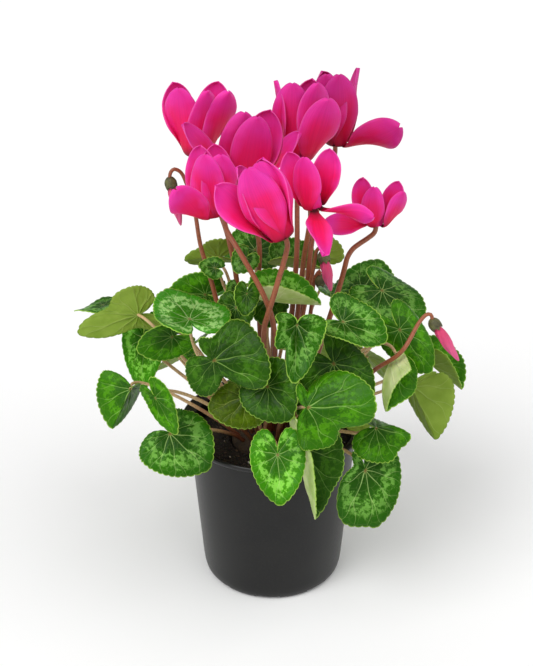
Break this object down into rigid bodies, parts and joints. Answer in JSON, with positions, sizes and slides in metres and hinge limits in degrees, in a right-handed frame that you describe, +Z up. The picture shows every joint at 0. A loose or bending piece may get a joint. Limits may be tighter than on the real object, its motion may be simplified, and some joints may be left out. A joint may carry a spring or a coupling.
{
  "type": "potted cyclamen",
  "caption": "Potted cyclamen: nodding magenta blooms with swept-back petals over a mound of heart-shaped marbled leaves, in a dark plastic pot.",
  "frame": {"origin": "centre of the pot's flat underside", "axes": "+Z up along the pot's axis, -Y towards the front that the blooms face"},
  "size_m": [0.2539, 0.231, 0.3318],
  "materials": {
    "pot": "satin charcoal plastic, finely scuffed",
    "soil": "moist dark potting mix with grains and fibres",
    "tuber": "rough brown corky skin",
    "stalk": "satin red-brown skin, finely speckled",
    "petal": "silky magenta with a dark mouth",
    "bud_petal": "silky pink, rolled",
    "young_bud": "soft green skin",
    "leaf": "waxy dark green with silver marbling, paler below"
  },
  "bodies": {
    "root": {"pot": "pot", "bloom_front": "petal", "leaves_young": "leaf", "bloom_top_left": "petal", "bloom_top_right": "petal", "bloom_left_mid": "petal", "bloom_left_high": "petal", "bloom_mid_back": "petal", "bloom_low_mid": "petal", "bloom_right": "petal", "leaves_small": "leaf", "leaves_back_left": "leaf", "leaves_back_mid": "leaf", "leaves_right_far": "leaf", "leaves_back_end": "leaf", "leaves_right_up": "leaf", "leaves_back_right": "leaf", "leaves_left_back": "leaf", "leaves_far_left": "leaf", "leaves_top": "leaf", "leaves_low": "leaf", "soil": "soil", "leaves_crown": "leaf", "leaf_left_low": "leaf", "tuber": "tuber", "stalk_left_mid": "stalk", "leaf_centre_marble": "leaf", "leaf_right_curl": "leaf", "leaf_right_low": "leaf", "leaf_centre_big": "leaf", "stalk_left_high": "stalk", "stalk_top_left": "stalk", "stalk_top_right": "stalk", "leaf_centre_left": "leaf", "leaf_front_fold": "leaf", "leaf_right_under": "leaf", "stalk_front": "stalk", "stalk_low_mid": "stalk", "leaf_left_marble": "leaf", "leaf_left_hang": "leaf", "stalk_mid_back": "stalk", "leaf_right_point": "leaf", "leaf_left_bottom": "leaf", "leaf_mid_top": "leaf", "leaf_centre_dark": "leaf", "leaf_mid_bright": "leaf", "stalk_bud_left": "stalk", "stalk_bud_right": "stalk", "leaf_left_bowl": "leaf", "leaf_left_fold": "leaf", "leaf_mid_fill": "leaf", "leaf_top_left": "leaf", "leaf_right_marble": "leaf", "bud_green": "young_bud", "leaf_front_heart": "leaf", "stalk_right": "stalk", "stalk_bud_mid": "stalk", "bud_left": "bud_petal", "bud_mid": "bud_petal", "bud_right": "bud_petal"}
  },
  "joints": []
}
